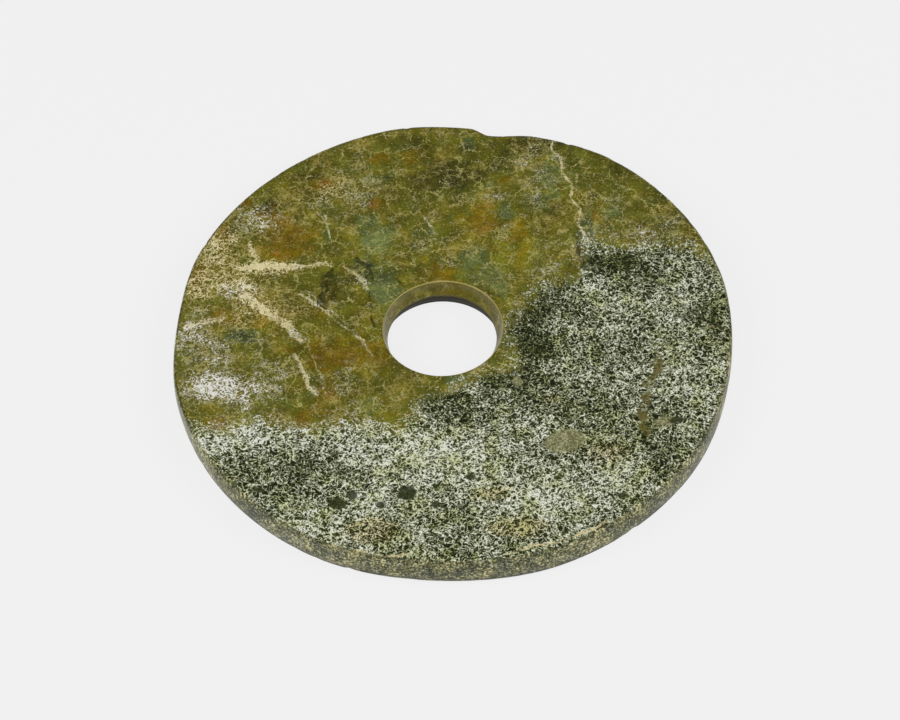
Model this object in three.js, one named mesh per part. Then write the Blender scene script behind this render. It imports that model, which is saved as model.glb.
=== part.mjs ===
// A jade bi: a flat round ritual disc of nephrite, pierced by one hole, lying on its underside.
// Millimetres, +Z up. The origin is the middle of the disc's footprint, on the plane it rests on.
import * as THREE from "three";

const { degToRad, euclideanModulo, lerp, radToDeg, smoothstep } = THREE.MathUtils;

// Driving dimensions of the disc
const RIM_RADIUS = 105.4; // the outline wherever it is truly round
const THICKNESS = 12.9;
const TOP_EDGE_ROUND = 1.2; // radius of the worn upper edge of the rim
const BOTTOM_EDGE_ROUND = 2.0; // radius of the more worn lower edge
const RIM_BULGE = 0.35; // how far the rim's mid height stands proud of its two edges

// The hole is bored from both faces, a little off the disc's centre. The two bores narrow inwards and
// meet at a ridge, and their mouths are not quite in line.
const BORE_TOP_CENTRE = new THREE.Vector2(-3.4, 2.4);
const BORE_BOTTOM_CENTRE = new THREE.Vector2(-4.3, 2.5);
const BORE_TOP_RADIUS = 22.3;
const BORE_BOTTOM_RADIUS = 22.5;
const BORE_TOP_ROUND = 0.7;
const BORE_BOTTOM_ROUND = 0.5;
const RIDGE_RADIUS = 20.45;
const RIDGE_HEIGHT = 6.2; // height of the ridge's middle above the underside
const RIDGE_WIDTH = 1.4;
const BORE_WALL_SAG = 0.25; // how far the upper bore's wall is hollowed at its mid height

// Stretches of the outline that were ground flatter than the circle.
// Azimuths are in degrees anticlockwise from +X; reach is half the stretch, depth the most that is missing.
const FLATS = [
  { azimuth: 77, reach: 26, depth: 3.1 },
  { azimuth: 173, reach: 19, depth: 1.6 },
  { azimuth: 264, reach: 26, depth: 1.4 },
  { azimuth: 349, reach: 27, depth: 1.1 },
];

// One long flake is missing from the rim. It runs out gently one way and ends in a step the other way.
const CHIP = { gentleEnd: 69, deepest: 79.5, steepEnd: 84, depth: 2.8, foot: 2.4 };

const AZIMUTH_STEPS = 240;
const RIM_ARC_STEPS = 3;
const BORE_ARC_STEPS = 2;
const WALL_STEPS = 3;

// Points of a circular arc in the plane of the profile, from one angle to another in degrees.
function arc(centreX, centreY, radius, fromAngle, toAngle, steps) {
  const points = [];
  for (let i = 0; i <= steps; i++) {
    const angle = degToRad(lerp(fromAngle, toAngle, i / steps));
    points.push(new THREE.Vector2(centreX + radius * Math.cos(angle), centreY + radius * Math.sin(angle)));
  }
  return points;
}

// The points between two ends of a wall, pushed sideways by a parabola that is bow deep at mid height.
function bowedWall(from, to, bow) {
  const points = [];
  for (let i = 1; i < WALL_STEPS; i++) {
    const share = i / WALL_STEPS;
    const point = from.clone().lerp(to, share);
    point.x += 4 * bow * share * (1 - share);
    points.push(point);
  }
  return points;
}

// The rim's part of the cross-section, as radius and height, from the underside up to the upper face.
function rimSection() {
  const edge = RIM_RADIUS - RIM_BULGE;
  const bottomCentre = edge - BOTTOM_EDGE_ROUND;
  const bottomEdge = arc(bottomCentre, BOTTOM_EDGE_ROUND, BOTTOM_EDGE_ROUND, -90, 0, RIM_ARC_STEPS);
  const topCentre = edge - TOP_EDGE_ROUND;
  const topEdge = arc(topCentre, THICKNESS - TOP_EDGE_ROUND, TOP_EDGE_ROUND, 0, 90, RIM_ARC_STEPS);
  return [...bottomEdge, ...bowedWall(bottomEdge.at(-1), topEdge[0], RIM_BULGE), ...topEdge];
}

// The hole's part of the cross-section, from the upper face down to the underside.
function boreSection() {
  const topCentre = BORE_TOP_RADIUS + BORE_TOP_ROUND;
  const topMouth = arc(topCentre, THICKNESS - BORE_TOP_ROUND, BORE_TOP_ROUND, 90, 180, BORE_ARC_STEPS);
  const bottomCentre = BORE_BOTTOM_RADIUS + BORE_BOTTOM_ROUND;
  const bottomMouth = arc(bottomCentre, BORE_BOTTOM_ROUND, BORE_BOTTOM_ROUND, 180, 270, BORE_ARC_STEPS);
  const ridgeTop = new THREE.Vector2(RIDGE_RADIUS, RIDGE_HEIGHT + RIDGE_WIDTH / 2);
  const ridgeBottom = new THREE.Vector2(RIDGE_RADIUS, RIDGE_HEIGHT - RIDGE_WIDTH / 2);
  const upperWall = bowedWall(topMouth.at(-1), ridgeTop, BORE_WALL_SAG);
  return [...topMouth, ...upperWall, ridgeTop, ridgeBottom, ...bottomMouth];
}

// How much of the rim is missing at an azimuth, in degrees, and a height.
function missingRim(azimuth, height) {
  let missing = 0;
  for (const flat of FLATS) {
    const turn = euclideanModulo(azimuth - flat.azimuth + 180, 360) - 180;
    const share = Math.min(1, Math.abs(turn) / flat.reach);
    missing += flat.depth * (1 - share * share) ** 2;
  }
  const gentle = smoothstep(azimuth, CHIP.gentleEnd, CHIP.deepest);
  const steep = 1 - smoothstep(azimuth, CHIP.deepest, CHIP.steepEnd);
  return missing + CHIP.depth * gentle * steep * smoothstep(height, CHIP.foot, THICKNESS);
}

// Takes a turned ring to the real outline: the hole goes off centre and the rim loses its flats and chip.
function wearOutline(geometry) {
  const position = geometry.getAttribute("position");
  const point = new THREE.Vector3();
  const boreCentre = new THREE.Vector2();
  for (let i = 0; i < position.count; i++) {
    point.fromBufferAttribute(position, i);
    const radius = Math.hypot(point.x, point.y);
    if (radius > (RIM_RADIUS + BORE_TOP_RADIUS) / 2) {
      const azimuth = euclideanModulo(radToDeg(Math.atan2(point.y, point.x)), 360);
      const scale = 1 - missingRim(azimuth, point.z) / radius;
      position.setXY(i, point.x * scale, point.y * scale);
    } else {
      boreCentre.lerpVectors(BORE_BOTTOM_CENTRE, BORE_TOP_CENTRE, point.z / THICKNESS);
      position.setXY(i, point.x + boreCentre.x, point.y + boreCentre.y);
    }
  }
}

// Moves the geometry so that the middle of its footprint is on the origin.
function centreOnFootprint(geometry) {
  geometry.computeBoundingBox();
  const centre = geometry.boundingBox.getCenter(new THREE.Vector3());
  geometry.translate(-centre.x, -centre.y, 0);
}

function jadeDisc() {
  const section = [...rimSection(), ...boreSection()];
  section.push(section[0].clone());
  const geometry = new THREE.LatheGeometry(section, AZIMUTH_STEPS);
  geometry.rotateX(Math.PI / 2);
  wearOutline(geometry);
  centreOnFootprint(geometry);
  geometry.computeVertexNormals();
  const nephrite = new THREE.MeshStandardMaterial({ color: 0x6b6a38, roughness: 0.42, metalness: 0 });
  const disc = new THREE.Mesh(geometry, nephrite);
  disc.name = "jade_disc";
  return disc;
}

const bi = new THREE.Group();
bi.add(jadeDisc());

export default bi;
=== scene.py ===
# %% [markdown]
# # A jade bi disc
#
# A bi is a flat round disc of nephrite jade, pierced by one hole, that was sawn, bored and ground by
# hand in the Stone Age. This one has lain in the ground: half of the stone is still
# olive green and polished, and the rest has turned to a dense grey and white mottle.
#
# The script makes the disc in four moves: load the measured solid, turn a finer disc of the same
# form, mark on it where the stone changes, and build one jade material that reads those marks.

# %% Load the measured solid
import math
import bpy
import numpy as np
from mathutils import Euler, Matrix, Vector


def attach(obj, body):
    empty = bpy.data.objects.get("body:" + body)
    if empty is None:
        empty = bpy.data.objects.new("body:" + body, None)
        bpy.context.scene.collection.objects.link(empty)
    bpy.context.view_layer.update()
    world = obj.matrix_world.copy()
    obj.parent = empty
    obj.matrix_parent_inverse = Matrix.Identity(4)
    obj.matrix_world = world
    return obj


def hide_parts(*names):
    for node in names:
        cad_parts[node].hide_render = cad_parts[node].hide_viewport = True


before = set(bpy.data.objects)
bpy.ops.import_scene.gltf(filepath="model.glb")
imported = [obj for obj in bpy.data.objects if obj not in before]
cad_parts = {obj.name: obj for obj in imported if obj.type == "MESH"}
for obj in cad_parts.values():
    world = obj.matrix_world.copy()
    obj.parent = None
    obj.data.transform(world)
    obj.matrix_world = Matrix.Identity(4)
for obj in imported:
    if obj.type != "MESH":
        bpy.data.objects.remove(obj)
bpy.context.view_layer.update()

# %% [markdown]
# ## Sizes
#
# Blender works in metres and a stone carver in millimetres, so every size below is in millimetres
# and is multiplied by `MM` where Blender needs it. The numbers are the disc's own: a circle ground
# flatter in four places, with one long flake lost from the rim, and a hole bored from both faces.

# %% Sizes of the disc
MM = 0.001

RIM_RADIUS = 105.4
THICKNESS = 12.9
TOP_EDGE_ROUND = 1.2
BOTTOM_EDGE_ROUND = 2.0
RIM_BULGE = 0.35

BORE_TOP_CENTRE = (-3.4, 2.4)
BORE_BOTTOM_CENTRE = (-4.3, 2.5)
BORE_TOP_RADIUS = 22.3
BORE_BOTTOM_RADIUS = 22.5
BORE_TOP_ROUND = 0.7
BORE_BOTTOM_ROUND = 0.5
RIDGE_RADIUS = 20.45
RIDGE_HEIGHT = 6.2
RIDGE_WIDTH = 1.4
BORE_WALL_SAG = 0.25

# Flat stretches of the rim: azimuth of the middle, half the stretch in degrees, depth in mm.
FLATS = [(77, 26, 3.1), (173, 19, 1.6), (264, 26, 1.4), (349, 27, 1.1)]

# The lost flake: it runs out gently one way and ends in a step the other way.
FLAKE_GENTLE_END, FLAKE_DEEPEST, FLAKE_STEEP_END = 69, 79.5, 84
FLAKE_DEPTH, FLAKE_FOOT = 2.8, 2.4

# %% [markdown]
# ## Camera
#
# The disc is seen from the front, from a little over fifty degrees up and more than a metre off,
# through a long lens. A long lens from far away keeps the circle's picture calm: the far rim is
# hardly smaller than the near one. The camera is also rolled by less than three degrees.

# %% The camera
CAMERA_DISTANCE = 1207.5
CAMERA_ELEVATION = 51.8
CAMERA_ROLL = 2.81
LENS = 129.54
SENSOR_WIDTH = 36
PIVOT = Vector((-0.125, 0.017, THICKNESS)) * MM  # the camera's distance is measured from here
AIM = Vector((-1.4, -13.0, THICKNESS)) * MM


def add_camera():
    """A camera that looks from the front down at the aim point, rolled clockwise by CAMERA_ROLL."""
    climb = math.radians(CAMERA_ELEVATION)
    away = Vector((0, -math.cos(climb), math.sin(climb))) * CAMERA_DISTANCE * MM
    data = bpy.data.cameras.new("camera")
    data.lens = LENS
    data.sensor_width = SENSOR_WIDTH
    camera = bpy.data.objects.new("camera", data)
    bpy.context.scene.collection.objects.link(camera)
    camera.location = PIVOT + away
    look = (AIM - camera.location).to_track_quat("-Z", "Y")
    roll = Euler((0, 0, math.radians(-CAMERA_ROLL))).to_quaternion()
    camera.rotation_euler = (look @ roll).to_euler()
    bpy.context.scene.camera = camera
    return camera


camera = add_camera()
print("camera at, mm:", [round(c / MM) for c in camera.location])

# %% [markdown]
# ## Helpers for node trees
#
# Node trees are drawn by hand in Blender's editors, but they can be written too. A few short
# helpers do most of the typing: they add a node and feed its inputs, do sums, or start a group.


# %% Node helpers
def feed(tree, socket, value):
    """Joins a socket to another one, or gives it a plain value."""
    if isinstance(value, bpy.types.NodeSocket):
        tree.links.new(value, socket)
    else:
        socket.default_value = value


def add(tree, kind, inputs=None, **settings):
    """Adds a node, sets its properties, then feeds the inputs given by name or by number."""
    node = tree.nodes.new(kind)
    for name, value in settings.items():
        setattr(node, name, value)
    for key, value in (inputs or {}).items():
        feed(tree, node.inputs[key], value)
    return node


def calc(tree, operation, *values):
    """The result of one Math node."""
    return add(tree, "ShaderNodeMath", dict(enumerate(values)), operation=operation).outputs[0]


def total(tree, first, *others):
    """The sum of several values."""
    for value in others:
        first = calc(tree, "ADD", first, value)
    return first


def product(tree, first, *others):
    """Several values multiplied together."""
    for value in others:
        first = calc(tree, "MULTIPLY", first, value)
    return first


def vector_calc(tree, operation, *values):
    """The vector result of one Vector Math node."""
    return add(tree, "ShaderNodeVectorMath", dict(enumerate(values)), operation=operation).outputs[0]


def scaled(tree, vector, factor):
    """A vector times a number."""
    inputs = {0: vector, "Scale": factor}
    return add(tree, "ShaderNodeVectorMath", inputs, operation="SCALE").outputs[0]


def fade(tree, value, start, end, low=0.0, high=1.0):
    """A smooth change from low to high while value goes from start to end."""
    inputs = {"Value": value, "From Min": start, "From Max": end, "To Min": low, "To Max": high}
    return add(tree, "ShaderNodeMapRange", inputs, interpolation_type="SMOOTHSTEP").outputs[0]


def new_group(name, kind, inputs, outputs):
    """Starts a node group. Inputs are (name, socket type, default), outputs are (name, socket type)."""
    tree = bpy.data.node_groups.new(name, kind)
    for label, socket_type, default in inputs:
        made = tree.interface.new_socket(label, in_out="INPUT", socket_type=socket_type)
        if default is not None:
            made.default_value = default
    for label, socket_type in outputs:
        tree.interface.new_socket(label, in_out="OUTPUT", socket_type=socket_type)
    return tree, tree.nodes.new("NodeGroupInput").outputs, tree.nodes.new("NodeGroupOutput")


FLOAT, INTEGER, VECTOR = "NodeSocketFloat", "NodeSocketInt", "NodeSocketVector"
GEOMETRY, OBJECT = "NodeSocketGeometry", "NodeSocketObject"
MATERIAL = "NodeSocketMaterial"

# %% [markdown]
# ## The cross-section
#
# A turner thinks of a disc as one closed outline swept round an axis. The outline here starts under
# the rim, climbs it, crosses the upper face, goes down the hole past the ridge where the two bores
# meet, and comes back underneath. Round edges are arcs and the walls bow a little.

# %% The cross-section
RIM_ARC_STEPS = 5
BORE_ARC_STEPS = 4
WALL_STEPS = 7
RIM_EXTRA_STEPS = 2
RIDGE_EDGE_ROUND = 0.2
UPPER_FACE_STEPS = 66
UNDERSIDE_STEPS = 24


def arc(x, y, radius, start, end, steps):
    """Points of an arc about (x, y), from one angle in degrees to another."""
    angles = np.radians(np.linspace(start, end, steps + 1))
    return np.stack([x + radius * np.cos(angles), y + radius * np.sin(angles)], axis=1)


def straight(start, end, steps, bow=0.0):
    """The points between two ends, pushed sideways by a parabola that is bow deep half way."""
    share = np.linspace(0, 1, steps + 1)[1:-1, None]
    points = np.array(start) * (1 - share) + np.array(end) * share
    points[:, 0] += (4 * bow * share * (1 - share))[:, 0]
    return points


def cross_section():
    """The closed outline as radius and height, with how far each point belongs to the rim and the hole."""
    edge = RIM_RADIUS - RIM_BULGE
    low = arc(edge - BOTTOM_EDGE_ROUND, BOTTOM_EDGE_ROUND, BOTTOM_EDGE_ROUND, -90, 0,
              RIM_ARC_STEPS + RIM_EXTRA_STEPS)
    high = arc(edge - TOP_EDGE_ROUND, THICKNESS - TOP_EDGE_ROUND, TOP_EDGE_ROUND, 0, 90, RIM_ARC_STEPS)
    rim = np.vstack([low, straight(low[-1], high[0], WALL_STEPS + RIM_EXTRA_STEPS, RIM_BULGE), high])
    mouth = arc(BORE_TOP_RADIUS + BORE_TOP_ROUND, THICKNESS - BORE_TOP_ROUND, BORE_TOP_ROUND,
                90, 180, BORE_ARC_STEPS)
    foot = arc(BORE_BOTTOM_RADIUS + BORE_BOTTOM_ROUND, BORE_BOTTOM_ROUND, BORE_BOTTOM_ROUND,
               180, 270, BORE_ARC_STEPS)
    ridge = arc(RIDGE_RADIUS + RIDGE_EDGE_ROUND, RIDGE_HEIGHT, RIDGE_EDGE_ROUND, 120, 240, 2)
    ridge[0, 1] += RIDGE_WIDTH / 2
    ridge[-1, 1] -= RIDGE_WIDTH / 2
    bore = np.vstack([mouth, straight(mouth[-1], ridge[0], WALL_STEPS, BORE_WALL_SAG), ridge,
                      straight(ridge[-1], foot[0], WALL_STEPS), foot])
    upper_face = straight(high[-1], mouth[0], UPPER_FACE_STEPS)
    underside = straight(foot[-1], low[0], UNDERSIDE_STEPS)
    outline = np.vstack([rim, upper_face, bore, underside])
    on_rim = np.zeros(len(outline))
    on_rim[1:len(rim) - 1] = 1
    in_bore = np.zeros(len(outline))
    first = len(rim) + len(upper_face)
    in_bore[first + 1:first + len(bore) - 1] = 1
    return outline, on_rim, in_bore


def section_object():
    """The outline as a loose row of points, in metres, with the two shares stored on them."""
    outline, on_rim, in_bore = cross_section()
    mesh = bpy.data.meshes.new("section")
    mesh.from_pydata([(r * MM, 0, z * MM) for r, z in outline], [], [])
    for name, values in (("on_rim", on_rim), ("in_bore", in_bore)):
        mesh.attributes.new(name, "FLOAT", "POINT").data.foreach_set("value", values)
    return bpy.data.objects.new("section", mesh), len(outline)


section, section_points = section_object()
print("section points:", section_points)

# %% [markdown]
# ## The disc as a Geometry Nodes tree
#
# The disc follows a rule, so a node tree makes it. A flat grid has one side for the turn and one for
# the outline. Each grid point looks up its outline point, is swung round the axis, and the seams
# are welded. The same tree grinds the flats, strikes off the flake and moves the hole off centre.
# A flat is used four times, so it's a group of its own with named inputs.


# %% A flat on the rim, as a node group
def flat_group():
    """How much rim, in metres, a ground flat takes away at an azimuth."""
    inputs = [("Azimuth", FLOAT, 0.0), ("Middle", FLOAT, 0.0), ("Reach", FLOAT, 20.0), ("Depth", FLOAT, 0.0)]
    tree, given, out = new_group("ground flat", "GeometryNodeTree", inputs, [("Missing", FLOAT)])
    turn = calc(tree, "SUBTRACT", given["Azimuth"], given["Middle"])
    turn = calc(tree, "WRAP", turn, 180.0, -180.0)
    share = calc(tree, "MINIMUM", calc(tree, "ABSOLUTE", calc(tree, "DIVIDE", turn, given["Reach"])), 1.0)
    left = calc(tree, "SUBTRACT", 1.0, calc(tree, "POWER", share, 2.0))
    feed(tree, out.inputs["Missing"], product(tree, calc(tree, "POWER", left, 2.0), given["Depth"]))
    return tree


ground_flat = flat_group()

# %% A small dent, as a node group
# Nicks in the rim: azimuth in degrees, height, reach and depth in mm.
NICKS = [
    (306, 0.6, 1.9, 0.9), (97.5, 12.4, 1.2, 0.35), (62, 12.6, 1.6, 0.4), (214, 12.7, 1.5, 0.35),
    (247, 0.5, 2.2, 0.5), (281, 12.8, 1.4, 0.3), (333, 12.6, 1.7, 0.35), (152, 12.5, 1.6, 0.35),
    (20, 0.4, 2.0, 0.5), (128, 0.5, 2.4, 0.6), (186, 0.6, 1.8, 0.4),
]


def nick_group():
    """How deep a nick is at a point: a bowl that fades out at its reach."""
    inputs = [("Azimuth", FLOAT, 0.0), ("Height", FLOAT, 0.0), ("Middle", FLOAT, 0.0),
              ("Level", FLOAT, 0.0), ("Reach", FLOAT, 0.001), ("Depth", FLOAT, 0.0)]
    tree, given, out = new_group("nick", "GeometryNodeTree", inputs, [("Depth", FLOAT)])
    turn = calc(tree, "SUBTRACT", given["Azimuth"], given["Middle"])
    along = product(tree, calc(tree, "WRAP", turn, 180.0, -180.0), math.radians(RIM_RADIUS * MM))
    up = calc(tree, "SUBTRACT", given["Height"], given["Level"])
    squares = total(tree, calc(tree, "POWER", along, 2.0), calc(tree, "POWER", up, 2.0))
    distance = calc(tree, "SQRT", squares)
    near = fade(tree, distance, given["Reach"], 0.0)
    feed(tree, out.inputs["Depth"], product(tree, near, given["Depth"]))
    return tree


nick = nick_group()


# %% The turned and worn disc
RIM_BELT = 4  # width in mm of the belt along the rim that moves in whole where the rim is ground
LOSS_FALLOFF = 8.0  # how fast a loss at the rim dies out across the faces
WELD = 0.01
FACE_LUMP = 34
WEAR_LUMP = 7


def feed_all(tree, node, inputs):
    """Feeds a group's inputs by name, once its node group is set."""
    for label, value in inputs.items():
        feed(tree, node.inputs[label], value)


def rim_losses(tree, azimuth, height):
    """What the flats and the flake take off the radius, in metres."""
    losses = []
    for middle, reach, depth in FLATS:
        inputs = {"Azimuth": azimuth, "Middle": middle, "Reach": reach, "Depth": depth * MM}
        flat = add(tree, "GeometryNodeGroup", node_tree=ground_flat)
        feed_all(tree, flat, inputs)
        losses.append(flat.outputs["Missing"])
    gentle = fade(tree, azimuth, FLAKE_GENTLE_END, FLAKE_DEEPEST)
    steep = fade(tree, azimuth, FLAKE_STEEP_END, FLAKE_DEEPEST)
    rise = fade(tree, height, FLAKE_FOOT * MM, THICKNESS * MM, high=FLAKE_DEPTH * MM)
    losses.append(product(tree, gentle, steep, rise))
    return total(tree, *losses)


def nick_losses(tree, azimuth, height):
    """What all the nicks take off the surface, in metres."""
    losses = []
    for middle, level, reach, depth in NICKS:
        one = add(tree, "GeometryNodeGroup", node_tree=nick)
        inputs = {"Azimuth": azimuth, "Height": height, "Middle": middle, "Level": level * MM,
                  "Reach": reach * MM, "Depth": depth * MM}
        feed_all(tree, one, inputs)
        losses.append(one.outputs["Depth"])
    return total(tree, *losses)


def stored(tree, geometry, name, value):
    """The geometry with a number stored on each of its points."""
    inputs = {"Geometry": geometry, "Name": name, "Value": value}
    kept = add(tree, "GeometryNodeStoreNamedAttribute", inputs, data_type="FLOAT", domain="POINT")
    return kept.outputs[0]


def lumps(tree, position, size, detail):
    """Noise between 0 and 1 whose lumps are about size mm across."""
    inputs = {"Vector": position, "Scale": 1 / (size * MM), "Detail": detail}
    return add(tree, "ShaderNodeTexNoise", inputs).outputs[0]


def disc_tree():
    """The whole lathe: grid to ring, then wear, then a little unevenness pressed into the surface."""
    inputs = [("Section", OBJECT, None), ("Section Points", INTEGER, 8), ("Turns", INTEGER, 64),
              ("Face Unevenness", FLOAT, 0.0), ("Edge Wear", FLOAT, 0.0), ("Stone", MATERIAL, None)]
    tree, given, out = new_group("turned disc", "GeometryNodeTree", inputs, [("Disc", GEOMETRY)])
    sides = {"Size X": 1.0, "Size Y": 1.0, "Vertices X": calc(tree, "ADD", given["Turns"], 1.0),
             "Vertices Y": calc(tree, "ADD", given["Section Points"], 1.0)}
    disc = add(tree, "GeometryNodeMeshGrid", sides).outputs["Mesh"]

    # Where each grid point belongs: a turn about the axis and a row of the outline.
    grid = add(tree, "ShaderNodeSeparateXYZ", {0: add(tree, "GeometryNodeInputPosition").outputs[0]})
    azimuth = product(tree, calc(tree, "ADD", grid.outputs["X"], 0.5), 360.0)
    row = product(tree, calc(tree, "ADD", grid.outputs["Y"], 0.5), given["Section Points"])
    row = calc(tree, "MODULO", calc(tree, "ROUND", row), given["Section Points"])
    outline = add(tree, "GeometryNodeObjectInfo", {"Object": given["Section"]}).outputs["Geometry"]

    def looked_up(field, kind):
        inputs = {"Geometry": outline, "Value": field, "Index": row}
        return add(tree, "GeometryNodeSampleIndex", inputs, data_type=kind).outputs[0]

    for name in ("on_rim", "in_bore"):
        mark = add(tree, "GeometryNodeInputNamedAttribute", {"Name": name}).outputs[0]
        disc = stored(tree, disc, name, looked_up(mark, "FLOAT"))
    disc = stored(tree, disc, "azimuth", azimuth)

    # Swing the outline round the axis, grind the flats and the flake, and shift the hole.
    place = looked_up(add(tree, "GeometryNodeInputPosition").outputs[0], "FLOAT_VECTOR")
    place = add(tree, "ShaderNodeSeparateXYZ", {0: place})
    radius, height = place.outputs["X"], place.outputs["Z"]
    reach = {"Value": radius, "From Min": BORE_TOP_RADIUS * MM, "From Max": (RIM_RADIUS - RIM_BELT) * MM}
    outwards = add(tree, "ShaderNodeMapRange", reach).outputs[0]
    loss = product(tree, rim_losses(tree, azimuth, height), calc(tree, "POWER", outwards, LOSS_FALLOFF))
    radius = calc(tree, "SUBTRACT", radius, loss)
    angle = calc(tree, "RADIANS", azimuth)
    turned = {"X": product(tree, radius, calc(tree, "COSINE", angle)),
              "Y": product(tree, radius, calc(tree, "SINE", angle)), "Z": height}
    swung = add(tree, "ShaderNodeCombineXYZ", turned).outputs[0]
    lean = {"Factor": calc(tree, "DIVIDE", height, THICKNESS * MM),
            4: (*(c * MM for c in BORE_BOTTOM_CENTRE), 0), 5: (*(c * MM for c in BORE_TOP_CENTRE), 0)}
    centre = add(tree, "ShaderNodeMix", lean, data_type="VECTOR").outputs[1]
    shift = scaled(tree, centre, calc(tree, "SUBTRACT", 1.0, outwards))
    ring = vector_calc(tree, "ADD", swung, shift)
    disc = add(tree, "GeometryNodeSetPosition", {"Geometry": disc, "Position": ring}).outputs[0]
    disc = add(tree, "GeometryNodeMergeByDistance", {"Geometry": disc, "Distance": WELD * MM}).outputs[0]

    # Put the middle of the footprint on the origin.
    box = add(tree, "GeometryNodeBoundBox", {"Geometry": disc})
    middle = scaled(tree, vector_calc(tree, "ADD", box.outputs["Min"], box.outputs["Max"]), -0.5)
    middle = vector_calc(tree, "MULTIPLY", middle, (1, 1, 0))
    disc = add(tree, "GeometryNodeSetPosition", {"Geometry": disc, "Offset": middle}).outputs[0]

    # Press the unevenness inwards, so that nothing grows past the measured solid.
    position = add(tree, "GeometryNodeInputPosition").outputs[0]
    normal = add(tree, "GeometryNodeInputNormal").outputs[0]
    upward = add(tree, "ShaderNodeSeparateXYZ", {0: normal}).outputs["Z"]
    level = add(tree, "ShaderNodeSeparateXYZ", {0: position}).outputs["Z"]
    kept_azimuth = add(tree, "GeometryNodeInputNamedAttribute", {"Name": "azimuth"}).outputs[0]
    on_rim = add(tree, "GeometryNodeInputNamedAttribute", {"Name": "on_rim"}).outputs[0]
    upper = fade(tree, upward, 0.3, 0.95)
    faces = product(tree, lumps(tree, position, FACE_LUMP, 1.0), given["Face Unevenness"], upper)
    worn = fade(tree, lumps(tree, position, WEAR_LUMP, 4.0), 0.5, 0.75, 0.25, 1.0)
    worn = product(tree, worn, given["Edge Wear"], on_rim)
    nicks = product(tree, nick_losses(tree, kept_azimuth, level), on_rim)
    inwards = scaled(tree, normal, product(tree, total(tree, faces, worn, nicks), -1.0))
    disc = add(tree, "GeometryNodeSetPosition", {"Geometry": disc, "Offset": inwards}).outputs[0]

    disc = add(tree, "GeometryNodeSetShadeSmooth", {"Geometry": disc, "Shade Smooth": True}).outputs[0]
    disc = add(tree, "GeometryNodeRealizeInstances", {"Geometry": disc}).outputs[0]
    disc = add(tree, "GeometryNodeSetMaterial", {"Geometry": disc, "Material": given["Stone"]}).outputs[0]
    feed(tree, out.inputs["Disc"], disc)
    return tree


# %% Run the tree and keep its mesh
TURNS = 560
FACE_UNEVENNESS = 0.12
EDGE_WEAR = 0.22


def turned_disc(stone):
    """Runs the tree on an empty object and returns the result as a plain mesh object."""
    tree = disc_tree()
    maker = bpy.data.objects.new("disc maker", bpy.data.meshes.new("disc maker"))
    bpy.context.scene.collection.objects.link(maker)
    bpy.context.scene.collection.objects.link(section)
    modifier = maker.modifiers.new("turned disc", "NODES")
    modifier.node_group = tree
    values = {"Section": section, "Section Points": section_points, "Turns": TURNS,
              "Face Unevenness": FACE_UNEVENNESS * MM, "Edge Wear": EDGE_WEAR * MM, "Stone": stone}
    for item in tree.interface.items_tree:
        if item.in_out == "INPUT":
            modifier[item.identifier] = values[item.name]
    made = maker.evaluated_get(bpy.context.evaluated_depsgraph_get())
    mesh = bpy.data.meshes.new_from_object(made)
    mesh.name = "jade disc"
    for helper in (maker, section):
        bpy.data.objects.remove(helper)
    disc = bpy.data.objects.new("nephrite_disc", mesh)
    bpy.context.scene.collection.objects.link(disc)
    return disc


nephrite = bpy.data.materials.new("nephrite")
disc = turned_disc(nephrite)
print("disc:", len(disc.data.vertices), "points,", len(disc.data.polygons), "faces")

# %% [markdown]
# ## Where the stone changes
#
# Weathering, iron stains and old cracks aren't random: each has its place. The lists below say where,
# in millimetres on the upper face: a soft patch is x, y, its two reaches and a strength, and a vein is
# a width and the points it runs through. They run right through the stone, so the underside
# shows the same zones. Each point of the mesh stores how it stands to every list.

# %% The marks
# Outline of the weathered, mottled part of the stone.
MOTTLED_OUTLINE = [
    (110, 24), (101, 27), (97, 31), (92, 36), (86, 37), (80, 37.5), (74, 38), (70, 36), (64, 38),
    (58, 40), (53, 40), (50, 42), (51, 37), (50, 32), (50, 26), (46, 23), (40, 21), (33, 20), (30, 16),
    (28, 12), (24, 8), (21, 4), (20, 0), (21, -6), (22, -12), (23, -17), (20, -19), (15, -18.5),
    (10, -20), (5, -23), (0, -26), (-3, -28), (-10, -30), (-14, -32), (-15, -38), (-20, -43),
    (-25, -44), (-30, -42), (-38, -40), (-43, -41), (-50, -42), (-57, -41), (-65, -39), (-72, -37),
    (-80, -40), (-90, -40), (-97, -38), (-110, -40), (-110, -110), (110, -110),
]

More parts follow.
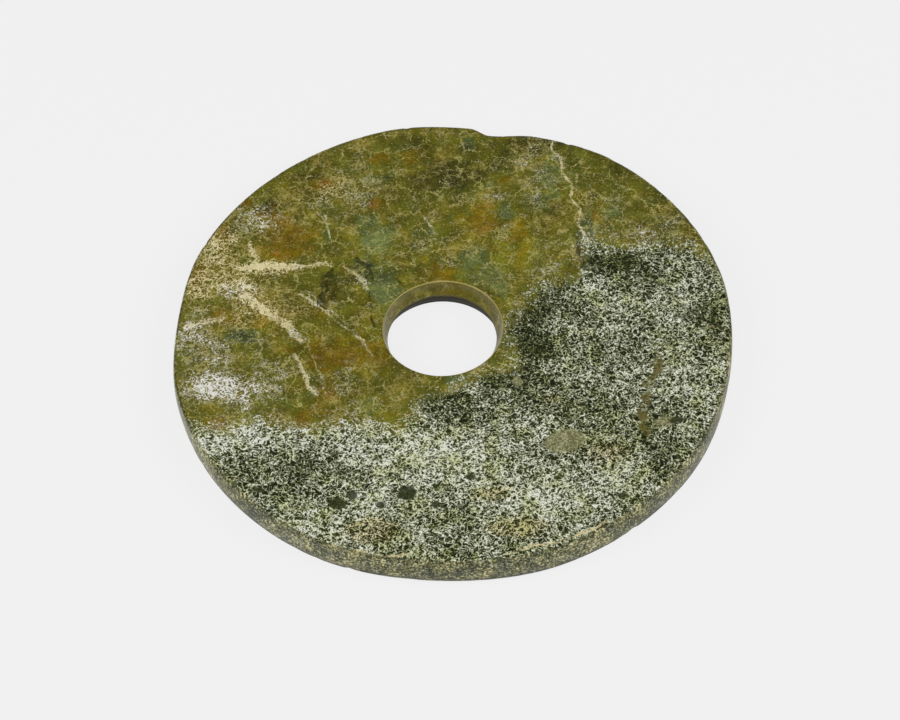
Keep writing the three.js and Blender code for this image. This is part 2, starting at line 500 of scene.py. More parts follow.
PATCHES = {
    # More or less white in the mottle.
    "pale": [
        (-65, -45, 30, 8, 0.25), (-20, -52, 18, 9, 0.35), (0, -60, 20, 10, 0.3), (30, -75, 25, 10, 0.3),
        (-50, -85, 22, 7, 0.3), (-30, -75, 12, 6, 0.35), (-85, -47, 10, 6, 0.2), (84, 12, 9, 14, 0.25),
        (84, -28, 10, 12, 0.2), (62, -70, 10, 6, 0.25), (53, 18, 4, 4, 0.3), (35, 23, 4, 4, 0.4),
        (60, 8, 12, 8, 0.1), (25, -45, 15, 7, 0.1), (27, -2, 8, 12, -0.3), (33, 12, 12, 7, -0.25),
        (70, 25, 10, 6, -0.15), (-5, -31, 9, 4, -0.3), (15, -24, 9, 4, -0.3), (27, -27, 8, 6, -0.25),
        (35, -10, 10, 8, -0.15), (45, -38, 14, 8, -0.12), (-58, -62, 10, 9, -0.2),
        (-80, -60, 6, 14, -0.15), (5, -38, 9, 7, -0.1), (72, -62, 6, 8, -0.2), (50, -88, 14, 5, -0.1),
        (98, 0, 5, 12, -0.15), (70, -45, 4, 8, -0.2), (-60, -48, 12, 8, -0.12), (-20, -55, 10, 8, -0.07),
        (20, -90, 20, 7, 0.14), (-28, -92, 12, 5, 0.08), (60, 5, 8, 8, 0.05),
        (38, 22, 8, 5, -0.3), (54, 31, 8, 4, -0.35), (68, 29, 8, 4, -0.3), (79, 18, 5, 6, -0.3),
        (92, 5, 7, 4, -0.3), (-28, -88, 10, 4, -0.15),
    ],
    # Tan in the mottle.
    "tan": [
        (12, -74, 9, 4, 0.6), (20, -90, 14, 5, 0.8), (-32, -88, 9, 5, 1.3), (55, -58, 12, 7, 0.6),
        (35, -33, 6, 4, 0.5),
    ],
    # Golden stains in the olive stone.
    "gold": [
        (-42, -8, 18, 8, 0.9), (0, 28, 16, 6, 0.6), (12, 55, 8, 9, 0.7), (-25, 88, 5, 3, 0.9),
        (-48, 76, 6, 4, 0.8), (-68, 62, 5, 5, 0.9), (-62, 52, 12, 9, 0.7), (-58, 43, 10, 4, 0.6),
        (-87, 53, 4, 5, 0.9), (-96, 33, 4, 7, 0.9), (-84, 12, 5, 4, 1.0), (-50, 14, 7, 4, 0.8),
        (-28, 65, 4, 3, 0.9), (-77, 69, 3, 4, 0.9), (22, 74, 4, 3, 0.6), (28, 45, 6, 14, 0.5),
        (-47, -25, 6, 6, 0.7), (-55, -36, 8, 5, 0.7), (-88, -38, 5, 4, 0.9),
    ],
    # Rust.
    "rust": [
        (-12, 88, 7, 5, 0.8), (-70, 43, 5, 5, 0.8), (-72, 10, 4, 4, 1.0), (57, 52, 3, 4, 0.8),
        (-28, 65, 3, 2, 0.7), (-46, 76, 3, 2, 0.7), (-77, 69, 2, 3, 0.7), (-50, 14, 4, 2, 0.5),
    ],
    # Blue-green, where the stone is clearest.
    "green": [
        (-27, 48, 7, 7, 0.8), (-30, 57, 4, 3, 0.5), (-25, 22, 7, 14, 0.7), (-33, 35, 4, 8, 0.6),
        (10, 32, 7, 9, 0.8), (18, 22, 6, 8, 0.6), (23, 57, 4, 5, 0.7), (53, 48, 3, 8, 0.9),
        (65, 55, 8, 10, 0.5), (10, 93, 4, 4, 0.6), (-28, 78, 8, 5, 0.5), (18, 72, 3, 3, 0.6),
        (-78, 3, 7, 4, 0.9), (-46, 52, 2, 7, 0.6), (-5, 55, 10, 10, 0.3), (-38, 58, 5, 5, 0.3),
        (42, 75, 7, 14, 0.6), (35, 60, 4, 6, 0.4), (0, -22, 10, 3, 0.6), (-30, -33, 8, 6, 0.5),
    ],
    # Dark in the olive stone.
    "dusk": [
        (2, 78, 14, 8, 0.9), (70, 78, 12, 8, 0.4), (85, 60, 6, 10, 0.4), (-46, 25, 4, 9, 0.9),
        (-32, 33, 3, 9, 0.8), (-10, 95, 8, 4, 0.4), (30, 88, 8, 5, 0.5), (38, 93, 8, 5, 1.8),
        (-52, 80, 8, 4, 0.6), (-68, 66, 8, 4, 0.6), (50, 35, 2, 8, 0.9), (-37, 28, 3, 3, 0.8),
        (-78, 3, 6, 4, 0.5),
    ],
    # Lighter or darker olive stone.
    "light": [
        (22, 35, 14, 10, 0.3), (-27, 47, 8, 8, 0.3), (0, 80, 24, 12, -0.3), (80, 52, 12, 10, -0.3),
        (-42, -8, 16, 8, -0.1), (28, 42, 10, 10, 0.25), (-18, 92, 14, 6, -0.1), (5, 50, 16, 12, 0.15),
        (22, 35, 10, 8, 0.15), (-27, 47, 8, 8, 0.2), (-25, 20, 8, 10, 0.2),
        (-18, 88, 8, 5, 0.15), (36, 82, 10, 8, 0.15), (-45, 25, 5, 8, 0.2),
    ],
    # Where the bloom is cream instead of white.
    "cream": [
        (-76, 42, 24, 16, 0.9), (-96, 30, 7, 14, 0.9), (-68, 12, 20, 9, 0.8), (-40, 35, 12, 6, 0.7),
        (-45, 75, 20, 12, 0.5), (50, 70, 5, 25, 0.8), (-55, -18, 6, 12, 0.4),
    ],
    # White bloom over the olive stone.
    "chalk": [
        (-70, 36, 16, 4, 0.7), (-96, 30, 6, 12, 0.7), (-88, 50, 9, 9, 0.5), (-74, 14, 10, 5, 0.4),
        (-72, 58, 9, 7, 0.9), (-84, 28, 12, 8, 0.8), (-90, -20, 11, 7, 1.3), (-88, 45, 8, 6, 0.6),
        (-98, 5, 6, 8, 0.7), (-90, -2, 14, 8, 0.5), (-75, 22, 8, 6, 0.6), (-75, -25, 10, 9, 0.6),
        (-68, -15, 12, 8, 0.35), (-45, 70, 16, 8, 0.4), (-33, 75, 10, 12, 0.35), (-60, 15, 12, 5, 0.5),
        (-45, -20, 8, 7, 0.4), (-40, -33, 10, 6, 0.4), (-75, -38, 15, 4, 0.6), (41, 35, 6, 8, 0.4),
        (35, 70, 8, 12, 0.35), (60, 60, 8, 8, 0.35), (15, 65, 20, 3, 0.25), (-12, 45, 12, 8, 0.25),
        (20, 48, 6, 8, 0.3), (57, 35, 4, 4, 0.6), (85, 48, 8, 6, 0.3),
        (-90, -21, 8, 5, 0.2), (-72, 36, 10, 5, 0.35), (-84, 12, 8, 8, 0.2),
        (36, 27, 5, 4, 0.6), (62, 43, 12, 4, 0.6), (80, 42, 10, 4, 0.4),
        (36, 84, 8, 8, 0.3), (38, 93, 6, 3, 0.3),
    ],
}

# Ovals in the mottle, dark or tan and smooth: x, y, long half, short half, turn in degrees.
OVALS = {
    "spot": [
        (-19, -72.5, 3.5, 3.3, 0), (-28.5, -77, 1.9, 1.8, 0), (-44, -75.5, 3.2, 2.7, 0),
        (-39, -72, 2.0, 2.0, 0), (-72, -68, 1.5, 1.5, 0), (4, -66.5, 1.8, 1.6, 0),
        (-9, -78, 1.2, 1.2, 0), (58, -78, 2.5, 1.5, 0), (80, -45.5, 3.0, 1.8, 10),
    ],
    "oval": [(39, -52.5, 7.6, 5.2, 15), (76, -45.5, 5.0, 1.8, 8), (23, -24.5, 2.0, 2.3, 0)],
}

# Old cracks healed with cream. Those that run close together are kept in two sets.
VEINS = {
    "vein_a": [
        (1.8, [(-79, 36), (-70, 36.5), (-62, 35.5), (-55, 35), (-48, 36.5), (-45, 35)]),
        (2.5, [(-78, 22), (-72, 16), (-66, 11), (-61, 7), (-59, 3), (-56, -1)]),
        (2.0, [(-100, 9), (-92, 10), (-86, 12)]),
        (0.6, [(-57, 22), (-53, 19), (-49, 15), (-45, 10), (-40, 5), (-36, 1), (-33, -2)]),
        (1.2, [(-59, -7), (-57, -12), (-55, -17), (-54, -22), (-51, -26)]),
        (1.2, [(-76, 48), (-75, 44), (-73, 40)]),
        (1.0, [(43, 93), (42, 88), (46, 82), (45, 76), (49, 70), (48, 63), (51, 57), (50, 49), (54, 41)]),
        (0.5, [(-10, 60), (-7, 53), (-4, 47)]),
        (0.8, [(-47, 60), (-45, 48)]),
        (0.4, [(44, -31), (45, -36)]),
        (0.6, [(93, -1), (98, -4), (103, -7)]),
        (1.2, [(-48, -93), (-40, -96), (-33, -98), (-27, -99.5), (-20, -99), (-16, -97)]),
        (1.0, [(15, -101), (25, -98), (35, -96), (44, -93), (52, -89)]),
    ],
    "vein_b": [
        (1.5, [(-40, 34), (-36, 31), (-33, 27), (-31, 22)]),
        (0.5, [(-55, 23), (-51, 20), (-47, 15.5), (-43, 10.5), (-38, 5.5)]),
        (0.4, [(-54, 0), (-53, -7), (-51, -12), (-49, -18)]),
        (0.4, [(-36, 1), (-33, -4), (-30, -9)]),
        (0.4, [(-50, 62), (-46, 55)]),
        (0.6, [(51, 75), (50.5, 70), (50, 66)]),
    ],
    # Open cracks, filled with dark earth.
    "seam": [
        (1.5, [(50, 45), (49, 38), (50, 31), (52, 26)]),
        (1.8, [(84, 10), (88, 6), (93, 1), (99, -4), (104, -8)]),
        (1.2, [(86, 3), (94, -4), (102, -11)]),
        (2.5, [(-44, 33), (-47, 26), (-49, 19), (-47, 15)]),
        (1.5, [(-35, 38), (-31, 33), (-29, 27)]),
        (1.2, [(-31, 22), (-30, 12), (-29, 4)]),
        (0.8, [(-22, 31), (-20, 26), (-18, 23)]),
    ],
    # One olive band through the mottle.
    "band": [(4.0, [(76, -16), (75, -22), (72, -28), (70, -33), (68, -40), (68, -46), (69, -51)])],
}


# %% Stand of every point to the marks
FAR = 9.0  # mm: stands for any place well away from a mark
VEIN_REACH = 3.6  # mm to each side of a vein where its width is kept
VEIN_SIDE_FADE = 1.4
VEIN_END_FADE = 1.6


def patch_sum(x, y, patches):
    """The sum of soft round patches."""
    amount = np.zeros(len(x))
    for middle_x, middle_y, reach_x, reach_y, strength in patches:
        away = ((x - middle_x) / reach_x) ** 2 + ((y - middle_y) / reach_y) ** 2
        amount += strength * np.exp(-away)
    return amount


def past_segment(x, y, start, end):
    """Signed distance to a segment's line, positive on its left, and plain distance to the segment."""
    run = np.subtract(end, start)
    length = np.hypot(*run)
    along = ((x - start[0]) * run[0] + (y - start[1]) * run[1]) / length
    side = (run[0] * (y - start[1]) - run[1] * (x - start[0])) / length
    beyond = along - np.clip(along, 0, length)
    return side, np.hypot(side, beyond)


def depth_inside(x, y, corners):
    """Distance to a closed outline, positive inside it."""
    nearest = np.full(len(x), np.inf)
    inside = np.zeros(len(x), bool)
    for start, end in zip(corners, corners[1:] + corners[:1]):
        nearest = np.minimum(nearest, past_segment(x, y, start, end)[1])
        crosses = (start[1] > y) != (end[1] > y)
        rise = end[1] - start[1] or 1
        inside ^= crosses & (x < start[0] + (y - start[1]) * (end[0] - start[0]) / rise)
    return np.where(inside, nearest, -nearest)


def vein_field(x, y, veins):
    """Signed distance to the nearest vein, and its width there; the width falls below 0 away from it."""
    offset = np.full(len(x), FAR)
    width = np.full(len(x), -1.0)
    for full_width, points in veins:
        for start, end in zip(points, points[1:]):
            side, distance = past_segment(x, y, start, end)
            beyond = np.sqrt(np.maximum(distance ** 2 - side ** 2, 0))
            near = np.clip((VEIN_REACH - np.abs(side)) / VEIN_SIDE_FADE, 0, 1)
            near *= np.clip(1 - beyond / VEIN_END_FADE, 0, 1)
            here = (full_width + 1) * near - 1
            better = here - np.abs(side) > width - np.abs(offset)
            offset = np.where(better, side, offset)
            width = np.where(better, here, width)
    return offset, width


def oval_depth(x, y, ovals):
    """Rough distance inside the nearest oval, negative outside."""
    depth = np.full(len(x), -FAR)
    for middle_x, middle_y, long_half, short_half, turn in ovals:
        cos, sin = math.cos(math.radians(turn)), math.sin(math.radians(turn))
        along = ((x - middle_x) * cos + (y - middle_y) * sin) / long_half
        across = ((y - middle_y) * cos - (x - middle_x) * sin) / short_half
        depth = np.maximum(depth, (1 - np.hypot(along, across)) * short_half)
    return depth


def store(mesh, name, values):
    mesh.attributes.new(name, "FLOAT", "POINT").data.foreach_set("value", values.astype(np.float32))


def mark_points(mesh):
    """Stores every mark on the points of the mesh."""
    places = np.empty(len(mesh.vertices) * 3)
    mesh.vertices.foreach_get("co", places)
    x, y = places[0::3] / MM, places[1::3] / MM
    store(mesh, "mottled", depth_inside(x, y, MOTTLED_OUTLINE))
    for name, patches in PATCHES.items():
        store(mesh, name, patch_sum(x, y, patches))
    for name, veins in VEINS.items():
        offset, width = vein_field(x, y, veins)
        store(mesh, name, offset)
        store(mesh, name + "_width", width)
    for name, ovals in OVALS.items():
        store(mesh, name, oval_depth(x, y, ovals))


mark_points(disc.data)
print("marks:", [a.name for a in disc.data.attributes if a.data_type == "FLOAT"])

# %% [markdown]
# ## Effects shared by the whole stone
#
# Four effects come back all over the disc, so each is a node group. The web is a net of thin
# wandering lines: noise is highest and lowest in blobs, and the line where it's half way is thin and
# never ends. The ragged patch turns a soft amount into a stain with a broken edge. The vein turns a
# signed distance into a line that wanders, swells and breaks. The crackle draws fine cracks round
# irregular cells. First come the helpers that all of them need.


# %% Texture helpers
def painted(colour):
    """A colour of three bytes as Blender's linear colour."""
    shares = np.array(colour) / 255
    linear = np.where(shares <= 0.04045, shares / 12.92, ((shares + 0.055) / 1.055) ** 2.4)
    return (*linear.tolist(), 1.0)


def noise(tree, place, size, detail=2.0, roughness=0.5, seed=0.0, output=0):
    """Noise whose blobs are about size across: output 0 is a value and 1 a colour."""
    if seed:
        place = vector_calc(tree, "ADD", place, (seed, seed * 0.7, seed * 1.3))
    inputs = {"Vector": place, "Scale": 1 / size, "Detail": detail, "Roughness": roughness}
    return add(tree, "ShaderNodeTexNoise", inputs).outputs[output]


def bent(tree, cells, size, detail, roughness, reach):
    """Places pushed about by noise, so that what is drawn on them wanders."""
    push = noise(tree, cells, size, detail, roughness, output=1)
    push = vector_calc(tree, "SUBTRACT", push, (0.5, 0.5, 0.5))
    return vector_calc(tree, "ADD", cells, scaled(tree, push, reach))


def swing(tree, value, reach, middle=0.5):
    """A texture value moved to swing about 0 and scaled."""
    return product(tree, calc(tree, "SUBTRACT", value, middle), reach)


def mark(tree, name):
    """A number stored on the points of the mesh."""
    return add(tree, "ShaderNodeAttribute", attribute_name=name).outputs["Fac"]


def ramp(tree, value, stops):
    """A colour ramp. Each stop is a position and a colour of three bytes."""
    node = add(tree, "ShaderNodeValToRGB", {0: value})
    elements = node.color_ramp.elements
    elements[0].position, elements[0].color = stops[0][0], painted(stops[0][1])
    elements[1].position, elements[1].color = stops[-1][0], painted(stops[-1][1])
    for position, colour in stops[1:-1]:
        elements.new(position).color = painted(colour)
    return node.outputs["Color"]


def mixed(tree, share, first, second, blend="MIX"):
    """The first colour, with a share of the second laid over it."""
    inputs = {0: share, 6: first, 7: second}
    return add(tree, "ShaderNodeMix", inputs, data_type="RGBA", blend_type=blend).outputs[2]


def used(tree, group, inputs):
    """Adds a node group and returns its mask."""
    return add(tree, "ShaderNodeGroup", inputs, node_tree=group).outputs[0]


print("a mid olive, linear:", [round(share, 3) for share in painted((106, 97, 12))])


# %% The web and the ragged patch, as node groups
def cells_of(tree, given, size):
    """Places measured in cells of the group's own size."""
    return scaled(tree, given["Position"], calc(tree, "DIVIDE", 1.0, given[size]))


def web_group():
    """A net of thin wandering lines: 1 on a line and 0 between."""
    inputs = [("Position", VECTOR, None), ("Cell", FLOAT, 2.0), ("Line", FLOAT, 0.1)]
    tree, given, out = new_group("web", "ShaderNodeTree", inputs, [("Mask", FLOAT)])
    wandering = bent(tree, cells_of(tree, given, "Cell"), 1.3, 1.0, 0.5, 1.6)
    away = calc(tree, "ABSOLUTE", swing(tree, noise(tree, wandering, 1.0, 1.5), 1.0))
    feed(tree, out.inputs["Mask"], fade(tree, away, given["Line"], 0.0))
    return tree


def ragged_group():
    """A stain with a broken edge, from a soft amount."""
    inputs = [("Amount", FLOAT, 0.0), ("Position", VECTOR, None), ("Grain", FLOAT, 4.0),
              ("Raggedness", FLOAT, 0.6), ("Edge", FLOAT, 0.4), ("Softness", FLOAT, 0.2)]
    tree, given, out = new_group("ragged patch", "ShaderNodeTree", inputs, [("Mask", FLOAT)])
    broken = noise(tree, cells_of(tree, given, "Grain"), 1.0, 4.0, 0.6)
    amount = total(tree, given["Amount"], swing(tree, broken, given["Raggedness"]))
    start = calc(tree, "SUBTRACT", given["Edge"], given["Softness"])
    end = total(tree, given["Edge"], given["Softness"])
    feed(tree, out.inputs["Mask"], fade(tree, amount, start, end))
    return tree


web, ragged_patch = web_group(), ragged_group()
print("groups:", web.name, "and", ragged_patch.name)


# %% The vein and the crackle, as node groups
def vein_group():
    """A wandering line, from the signed distance to it and its width, both in millimetres."""
    inputs = [("Offset", FLOAT, 9.0), ("Width", FLOAT, 0.5), ("Position", VECTOR, None),
              ("Wander", FLOAT, 4.0)]
    tree, given, out = new_group("vein", "ShaderNodeTree", inputs, [("Mask", FLOAT)])
    place = given["Position"]
    bend = noise(tree, place, 5.0, 5.0, 0.7)
    offset = total(tree, given["Offset"], swing(tree, bend, given["Wander"]))
    swell = fade(tree, noise(tree, place, 3.0, 2.0, seed=31), 0.35, 0.65, 0.4, 1.3)
    half = product(tree, given["Width"], swell, 0.5)
    past = calc(tree, "SUBTRACT", calc(tree, "ABSOLUTE", offset), half)
    kept = fade(tree, noise(tree, place, 3.5, 3.0, 0.6, seed=53), 0.38, 0.56, 0.25, 1.0)
    feed(tree, out.inputs["Mask"], product(tree, fade(tree, past, 0.2, -0.2), kept))
    return tree


def crackle_group():
    """Fine cracks round irregular cells, broken off here and there."""
    inputs = [("Position", VECTOR, None), ("Cell", FLOAT, 8.0), ("Width", FLOAT, 0.3)]
    tree, given, out = new_group("crackle", "ShaderNodeTree", inputs, [("Mask", FLOAT)])
    cells = cells_of(tree, given, "Cell")
    inputs = {"Vector": bent(tree, cells, 0.7, 4.0, 0.7, 1.1), "Scale": 1.0}
    cracks = add(tree, "ShaderNodeTexVoronoi", inputs, feature="DISTANCE_TO_EDGE")
    away = product(tree, cracks.outputs["Distance"], given["Cell"])
    kept = fade(tree, noise(tree, cells, 0.9, 3.0, 0.6, seed=41), 0.42, 0.6)
    feed(tree, out.inputs["Mask"], product(tree, fade(tree, away, given["Width"], 0.0), kept))
    return tree


vein, crackle = vein_group(), crackle_group()
print("groups:", vein.name, "and", crackle.name)

# %% [markdown]
# ## The mottled stone
#
# Nephrite is a felt of fine fibres. Where ground water has opened the felt it scatters light and
# looks white, in a dense worm-like mottle. An image would be the quick way, but it would only fit one
# face. Here a tone is added up from threads, grain and slow drift, and one ramp from near black
# to white gives that tone its colour. Tints, smooth ovals and dark spots are laid over it.

# %% The mottled stone
MOTTLE_RAMP = [(0.0, (20, 27, 0)), (0.25, (58, 66, 18)), (0.5, (110, 117, 74)), (0.75, (176, 181, 148)),
               (1.0, (248, 250, 236))]
OVAL_RAMP = [(0.0, (72, 74, 36)), (0.5, (124, 124, 80)), (1.0, (216, 212, 168))]
MOSS_TINT, TAN_TINT, SPOT_GREEN = (226, 228, 178), (240, 218, 160), (44, 52, 14)


def threads_and_grain(tree, place):
    """The two fine patterns of the stone: a tangle of threads, and a grain that swings about 0.5."""
    fine = used(tree, web, {"Position": place, "Cell": 2.1, "Line": 0.06})
    coarse = used(tree, web, {"Position": place, "Cell": 3.5, "Line": 0.045})
    net = used(tree, crackle, {"Position": place, "Cell": 2.2, "Width": 0.35})
    threads = calc(tree, "MAXIMUM", calc(tree, "MAXIMUM", fine, coarse), net)
    return threads, noise(tree, place, 0.8, 2.0, 0.6, seed=5)


def mottled_ground(tree, place, drift, threads, grain):
    """The mottle itself, with its mossy and tan tints."""
    tone = total(tree, mark(tree, "pale"), swing(tree, drift, 1.05), swing(tree, threads, 0.9, 0.35),
                 swing(tree, grain, 2.2), 0.32)
    colour = ramp(tree, tone, MOTTLE_RAMP)
    moss = fade(tree, noise(tree, place, 8.0, 5.0, 0.66, seed=13), 0.42, 0.66, 0.0, 0.8)
    colour = mixed(tree, moss, colour, painted(MOSS_TINT), "MULTIPLY")
    tan = used(tree, ragged_patch, {"Amount": mark(tree, "tan"), "Position": place, "Grain": 4.0})
    return mixed(tree, product(tree, tan, 0.55), colour, painted(TAN_TINT), "MULTIPLY")


def mottled_stone(tree, place, threads, grain):
    """Colour of the weathered part."""
    drift = noise(tree, place, 6.0, 5.0, 0.68, seed=11)
    colour = mottled_ground(tree, place, drift, threads, grain)
    ripple = swing(tree, drift, 3.0)
    oval = fade(tree, total(tree, mark(tree, "oval"), ripple), -0.3, 0.4)
    rings = total(tree, swing(tree, threads, 0.25, 0.3), swing(tree, grain, 0.8), 0.53)
    colour = mixed(tree, product(tree, oval, 0.9), colour, ramp(tree, rings, OVAL_RAMP))
    spot = fade(tree, total(tree, mark(tree, "spot"), ripple), -0.4, 0.5)
    return mixed(tree, product(tree, spot, 0.92), colour, painted(SPOT_GREEN))


# %% [markdown]
# ## The olive stone
#
# Sound nephrite is olive and waxy. Iron has stained it gold and rust, and it is blue-green where it
# is clearest. One number says how green or how rusty a place is and picks the hue from a ramp, and
# another says how light it is. Then come cream hairlines, fewer of them where the gold is smooth, and
# a bloom that is white in some places and cream in others.

# %% The olive stone
OLIVE_HUES = [(0.0, (92, 102, 54)), (0.3, (96, 100, 28)), (0.5, (106, 97, 12)), (0.7, (120, 99, 4)),
              (1.0, (140, 92, 6))]
WHITE_RAMP = [(0.0, (108, 106, 62)), (0.45, (176, 172, 140)), (0.9, (250, 248, 238))]
CREAM_RAMP = [(0.0, (122, 104, 34)), (0.45, (182, 164, 98)), (0.9, (248, 236, 186))]
HAIRLINE_CREAM = (234, 222, 140)
STAIN_HUES = {"gold": 0.25, "rust": 0.22, "green": -0.4}
STAIN_GRAIN, STAIN_RAGGEDNESS = 6.0, 1.5


def stain(tree, place, name):
    """How far one of the listed stains covers a place."""
    inputs = {"Amount": mark(tree, name), "Position": place, "Grain": STAIN_GRAIN,
              "Raggedness": STAIN_RAGGEDNESS}
    return used(tree, ragged_patch, inputs)


def stained_olive(tree, place, stains, veil, grain):
    """The waxy ground: a hue from the stains, made lighter or darker."""
    pulls = [product(tree, stains[name], pull) for name, pull in STAIN_HUES.items()]
    hue = total(tree, 0.42, swing(tree, veil, 1.0), *pulls)
    depth = noise(tree, place, 7.0, 3.0, 0.55, seed=3)
    level = total(tree, swing(tree, depth, 3.0), swing(tree, grain, 2.6), mark(tree, "light"),
                  product(tree, stains["dusk"], -0.9), 0.04)
    return scaled(tree, ramp(tree, hue, OLIVE_HUES), calc(tree, "POWER", 2.0, level))


def hairlines(tree, place, bloom, veil, threads, grain):
    """Fine cream cracks: sparse ones everywhere, dense ones in the bloom, and fuzz and specks."""
    sparse = used(tree, crackle, {"Position": place, "Cell": 8.0, "Width": 0.32})
    dense = used(tree, crackle, {"Position": place, "Cell": 3.0, "Width": 0.3})
    crowd = total(tree, bloom, swing(tree, veil, 2.0))
    dense = product(tree, dense, fade(tree, crowd, -0.1, 0.4, 0.1, 1.0))
    fuzz = product(tree, threads, fade(tree, veil, 0.52, 0.6, 0.0, 0.45))
    specks = calc(tree, "MAXIMUM", fuzz, fade(tree, grain, 0.65, 0.71))
    return calc(tree, "MAXIMUM", calc(tree, "MAXIMUM", sparse, dense), specks)


def vein_halo(tree, name):
    """A broad soft band along a set of veins."""
    past = calc(tree, "SUBTRACT", calc(tree, "ABSOLUTE", mark(tree, name)), mark(tree, name + "_width"))
    return fade(tree, past, 1.2, -1.5)


def olive_stone(tree, place, threads, grain):
    """Colour of the sound part, with its stains, hairlines and bloom."""
    veil = noise(tree, place, 9.0, 7.0, 0.72, seed=29)
    clouds = noise(tree, place, 8.0, 6.0, 0.66, seed=3)
    stains = {name: stain(tree, place, name) for name in (*STAIN_HUES, "dusk")}
    colour = stained_olive(tree, place, stains, veil, grain)
    bloom = total(tree, mark(tree, "chalk"), swing(tree, clouds, 2.2))
    lines = hairlines(tree, place, bloom, veil, threads, grain)
    smooth = fade(tree, stains["gold"], 0.0, 1.0, 0.62, 0.25)
    colour = mixed(tree, product(tree, lines, smooth), colour, painted(HAIRLINE_CREAM))
    halo = total(tree, vein_halo(tree, "vein_a"), vein_halo(tree, "vein_b"))
    bloom = total(tree, bloom, swing(tree, grain, 1.8), swing(tree, threads, 1.0, 1.0),
                  product(tree, halo, 0.6))
    warmth = fade(tree, total(tree, mark(tree, "cream"), swing(tree, veil, 1.5)), 0.1, 0.6)
    bloom_colour = mixed(tree, warmth, ramp(tree, bloom, WHITE_RAMP), ramp(tree, bloom, CREAM_RAMP))
    return mixed(tree, fade(tree, bloom, -0.05, 0.6), colour, bloom_colour)


# %% [markdown]
# ## The rim and the hole
#
# The rim was ground and handled, so it is browner and plainer than the faces, and a painted shadow
# darkens its foot. The wall of the hole is stained gold, a pale line, partly wear and partly a
# painted highlight, runs round its upper edge, and below the ridge it falls into shadow. Both read
# a share stored on the mesh by the lathe, so they end exactly at the edges.

# %% The rim and the hole
RIM_RAMP = [(0.0, (24, 26, 0)), (0.35, (76, 77, 34)), (0.65, (122, 120, 66)), (1.0, (226, 216, 160))]
BORE_RAMP = [(0.3, (66, 62, 4)), (0.5, (106, 94, 14)), (0.7, (156, 142, 62))]
# The foot colour is a painted shadow, the edge colour is partly wear and partly a painted highlight, and the
# brown below the ridge is a painted shadow.
PAINTED_FOOT_SHADOW, EDGE_WEAR_AND_HIGHLIGHT, SHADOW_BROWN = (30, 32, 12), (226, 206, 120), (22, 20, 10)


def with_rim(tree, colour, place, height, grain):
    """The colour with the ground rim laid over it, and a painted shadow at its foot."""
    clouds = noise(tree, place, 7.0, 6.0, 0.7, seed=37)
    tone = total(tree, swing(tree, clouds, 2.4), swing(tree, grain, 2.8), 0.42)
    on_rim = mark(tree, "on_rim")
    colour = mixed(tree, product(tree, on_rim, 0.75), colour, ramp(tree, tone, RIM_RAMP))
    # A painted shadow where the foot of the rim meets the floor.
    foot = product(tree, fade(tree, height, 4.5, 0.5), on_rim)
    return mixed(tree, product(tree, foot, 0.8), colour, painted(PAINTED_FOOT_SHADOW))


def with_bore(tree, colour, height, clouds, shade):
    """The colour with the wall of the hole laid over it."""
    in_bore = mark(tree, "in_bore")
    colour = mixed(tree, product(tree, in_bore, 0.6), colour, ramp(tree, clouds, BORE_RAMP))
    # A pale line round the upper edge of the hole, partly wear and partly a painted highlight.
    edge = product(tree, fade(tree, height, 12.3, 12.5), fade(tree, height, 12.85, 12.65), in_bore)
    colour = mixed(tree, product(tree, edge, 0.5), colour, painted(EDGE_WEAR_AND_HIGHLIGHT))
    return mixed(tree, product(tree, shade, 0.95), colour, painted(SHADOW_BROWN))


# %% [markdown]
# ## One stone from all its parts
#
# The two stones meet along a border that is blurred by noise, by the threads and by the grain, so
# that white hairs reach into the olive. Veins, seams and one olive band are drawn over both, then the
# rim and the hole. Sound stone keeps its polish, weathered stone is duller.

# %% The nephrite
VEIN_FINISHES = {"vein_a": ((232, 220, 166), 0.9), "vein_b": ((214, 204, 142), 0.8),
                 "seam": ((34, 40, 8), 0.8), "band": ((112, 104, 50), 0.95)}
POLISHED, WEATHERED = 0.3, 0.42
SHADOW_DULLNESS = 0.5
GLOSS = 0.35


def with_veins(tree, colour, place, grain):
    """The colour with every set of veins drawn over it, broken by the grain."""
    broken = fade(tree, grain, 0.34, 0.5, 0.3, 1.0)
    for name, (tint, strength) in VEIN_FINISHES.items():
        inputs = {"Offset": mark(tree, name), "Width": mark(tree, name + "_width"), "Position": place}
        share = product(tree, used(tree, vein, inputs), strength, broken)
        colour = mixed(tree, share, colour, painted(tint))
    return colour


def build_nephrite(material):
    """Fills the material with the whole stone."""
    material.use_nodes = True
    tree = material.node_tree
    shader = tree.nodes["Principled BSDF"]
    place = scaled(tree, add(tree, "ShaderNodeTexCoord").outputs["Object"], 1 / MM)
    height = add(tree, "ShaderNodeSeparateXYZ", {0: place}).outputs["Z"]
    threads, grain = threads_and_grain(tree, place)
    clouds = noise(tree, place, 4.5, 5.0, 0.7, seed=23)
    border = total(tree, mark(tree, "mottled"), swing(tree, clouds, 16.0), swing(tree, threads, 4.0),
                   swing(tree, grain, 8.0))
    weathered = fade(tree, border, -1.5, 1.5)
    colour = mixed(tree, weathered, olive_stone(tree, place, threads, grain),
                   mottled_stone(tree, place, threads, grain))
    colour = with_veins(tree, colour, place, grain)
    colour = with_rim(tree, colour, place, height, grain)
    shade = product(tree, fade(tree, height, 7.6, 5.4), mark(tree, "in_bore"))
    colour = with_bore(tree, colour, height, clouds, shade)
    feed(tree, shader.inputs["Base Color"], colour)
    polish = fade(tree, weathered, 0.0, 1.0, POLISHED, WEATHERED)
    roughness = total(tree, polish, product(tree, shade, SHADOW_DULLNESS))
    feed(tree, shader.inputs["Roughness"], roughness)
    shader.inputs["Specular IOR Level"].default_value = GLOSS


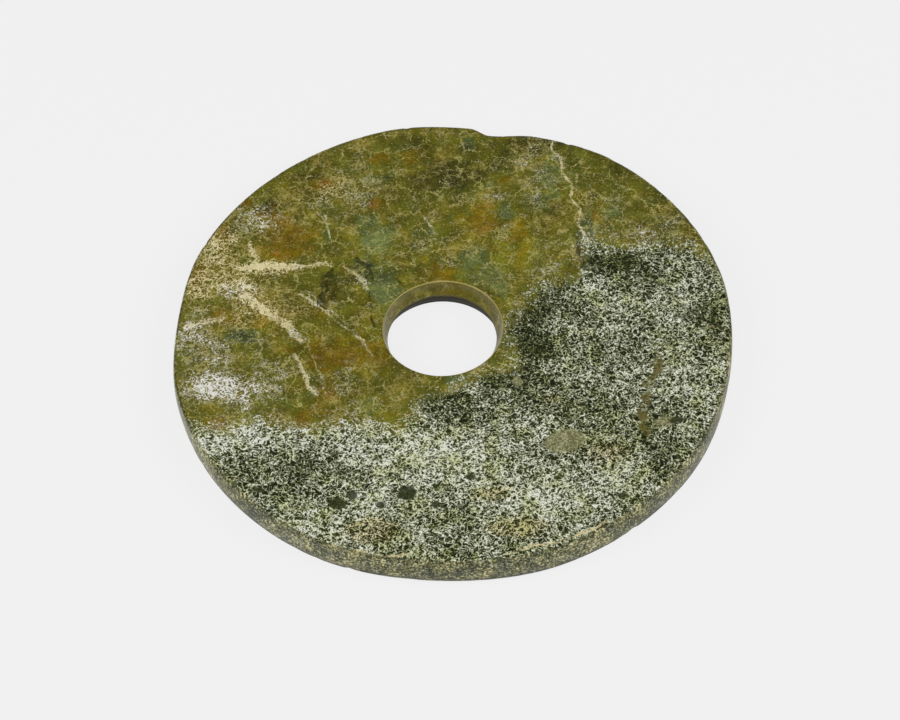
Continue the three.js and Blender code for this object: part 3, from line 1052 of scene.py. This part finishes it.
build_nephrite(nephrite)
print("nephrite:", len(nephrite.node_tree.nodes), "nodes")

# %% [markdown]
# ## Floor and light
#
# The floor is plain and pale, and wide enough to fill the view. It glows a little of its own, which
# keeps it even right to the horizon and lightens the shadow, as a lit table under a museum piece does.
# Three large softboxes stand to the left, to the right and in front. None is where the upper face would
# mirror it, so the stone shows its colour and not a glare. The background adds a dim even light.

# %% Floor
FLOOR_HALF = 3.0  # metres
FLOOR_HEIGHT = -0.1 * MM
FLOOR_GLOW = 0.8
FLOOR_GREY = 0.1
FLOOR_ROUGHNESS = 0.9


def pale_floor():
    """A square of pale floor, a hair under the disc so that the two faces never coincide."""
    mesh = bpy.data.meshes.new("floor")
    turns = [(-1, -1), (1, -1), (1, 1), (-1, 1)]
    corners = [(x * FLOOR_HALF, y * FLOOR_HALF, FLOOR_HEIGHT) for x, y in turns]
    mesh.from_pydata(corners, [], [(0, 1, 2, 3)])
    paper = bpy.data.materials.new("pale floor")
    paper.use_nodes = True
    shader = paper.node_tree.nodes["Principled BSDF"]
    shader.inputs["Base Color"].default_value = (FLOOR_GREY, FLOOR_GREY, FLOOR_GREY, 1)
    shader.inputs["Roughness"].default_value = FLOOR_ROUGHNESS
    shader.inputs["Specular IOR Level"].default_value = 0.0
    shader.inputs["Emission Color"].default_value = (1, 1, 1, 1)
    shader.inputs["Emission Strength"].default_value = FLOOR_GLOW
    mesh.materials.append(paper)
    floor = bpy.data.objects.new("floor", mesh)
    bpy.context.scene.collection.objects.link(floor)
    return floor


floor = pale_floor()
print("floor:", 2 * FLOOR_HALF, "m square")

# %% Softboxes and the dim light all round
SOFTBOX_SIZE = 1.0
SOFTBOX_WATTS = 10.5
SOFTBOXES = {"left": (-1.3, -0.3, 1.2), "right": (1.3, -0.3, 1.2), "front": (0, -1.2, 1.6)}
ROOM_LIGHT = 0.15


def softbox(name, place):
    """A square soft light that faces the disc."""
    light = bpy.data.lights.new("softbox " + name, "AREA")
    light.shape = "SQUARE"
    light.size = SOFTBOX_SIZE
    light.energy = SOFTBOX_WATTS
    box = bpy.data.objects.new("softbox " + name, light)
    box.location = place
    box.rotation_euler = (-Vector(place)).to_track_quat("-Z", "Y").to_euler()
    bpy.context.scene.collection.objects.link(box)


for name, place in SOFTBOXES.items():
    softbox(name, place)
room = bpy.data.worlds.new("room")
room.use_nodes = True
room.node_tree.nodes["Background"].inputs["Color"].default_value = (1, 1, 1, 1)
room.node_tree.nodes["Background"].inputs["Strength"].default_value = ROOM_LIGHT
bpy.context.scene.world = room
bpy.context.scene.view_settings.view_transform = "Standard"
print("softboxes:", len(SOFTBOXES))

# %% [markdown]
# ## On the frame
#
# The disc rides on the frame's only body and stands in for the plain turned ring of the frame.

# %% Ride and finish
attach(disc, "root")
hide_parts("jade_disc")
